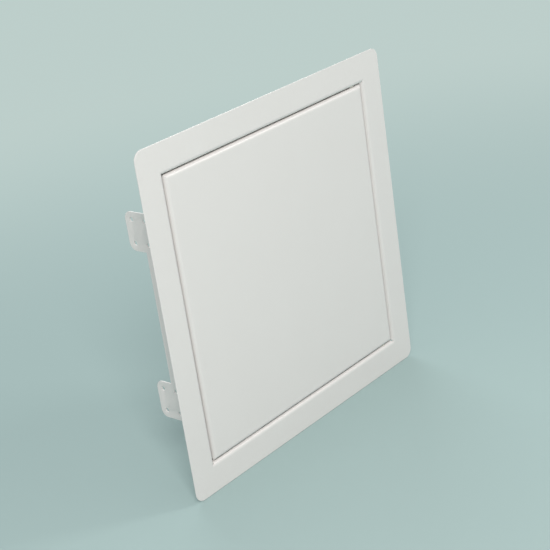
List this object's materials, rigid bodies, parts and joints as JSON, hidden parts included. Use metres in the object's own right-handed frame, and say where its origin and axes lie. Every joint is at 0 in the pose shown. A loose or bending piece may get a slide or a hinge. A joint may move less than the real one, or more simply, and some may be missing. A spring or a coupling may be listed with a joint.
{
  "type": "ceiling access panel",
  "caption": "Flush steel access panel: picture-frame flange with fixing tabs, plain lift-off door on concealed pivots, and a push-to-open latch.",
  "frame": {"origin": "centre of the opening, on the plane of the flange's back, which seats on the ceiling or wall", "axes": "+Y from the visible face into the void behind, +Z along the door's pivot axis, +X across the door from the latch towards the pivots"},
  "size_m": [0.36, 0.0592, 0.36],
  "materials": {
    "white_powder_coat": "satin powder coat",
    "zinc_plate": "zinc plated",
    "bright_steel": "bright drawn",
    "black_nylon": "fine moulded",
    "natural_nylon": "fine moulded"
  },
  "bodies": {
    "frame": {"frame": "white_powder_coat", "fixing_plate_left": "white_powder_coat", "fixing_plate_right": "white_powder_coat", "pivot_bush_upper": "natural_nylon", "pivot_bush_lower": "natural_nylon", "latch_bracket": "zinc_plate", "latch_rivet_upper": "bright_steel", "latch_rivet_lower": "bright_steel", "latch_screw_upper": "zinc_plate", "latch_screw_lower": "zinc_plate", "latch_housing": "black_nylon"},
    "door": {"door_panel": "white_powder_coat", "door_stiffener": "white_powder_coat", "striker": "zinc_plate", "striker_screw_upper": "zinc_plate", "striker_screw_lower": "zinc_plate", "pivot_bracket_upper": "zinc_plate", "pivot_bracket_lower": "zinc_plate", "pivot_pin": "bright_steel", "pin_collar": "bright_steel", "pivot_spring": "bright_steel"},
    "pivot_bolt": {"pivot_bolt": "bright_steel", "bolt_collar": "bright_steel"},
    "latch_carriage": {"latch_carriage": "natural_nylon", "jaw_pin_upper": "bright_steel", "jaw_pin_lower": "bright_steel"},
    "latch_jaw_upper": {"latch_jaw_upper": "natural_nylon"},
    "latch_jaw_lower": {"latch_jaw_lower": "natural_nylon"}
  },
  "joints": [
    {"name": "door_swing", "type": "hinge", "parent": "frame", "child": "door", "pos_m": [0.1354, 0.0053, 0], "axis": [0, 0, 1], "range_deg": [0, 110]},
    {"name": "bolt_retract", "type": "slide", "parent": "door", "child": "pivot_bolt", "axis": [0, 0, 1], "range_m": [-0.007, 0], "stiffness_N_per_m": 250, "springref_m": 0.01, "deforming": ["pivot_spring"]},
    {"name": "latch_push_out", "type": "slide", "parent": "frame", "child": "latch_carriage", "axis": [0, -1, 0], "range_m": [0, 0.006]},
    {"name": "jaw_upper_open", "type": "hinge", "parent": "latch_carriage", "child": "latch_jaw_upper", "pos_m": [-0.126, 0.036, 0.008], "axis": [-1, 0, 0], "range_deg": [0, 18.5]},
    {"name": "jaw_lower_open", "type": "hinge", "parent": "latch_carriage", "child": "latch_jaw_lower", "pos_m": [-0.126, 0.036, -0.008], "axis": [1, 0, 0], "range_deg": [0, 18.5]}
  ],
  "couplings": [
    {"joint": "jaw_upper_open", "follows": "latch_push_out", "rad_per_m": 52.36},
    {"joint": "jaw_lower_open", "follows": "latch_push_out", "rad_per_m": 52.36}
  ]
}
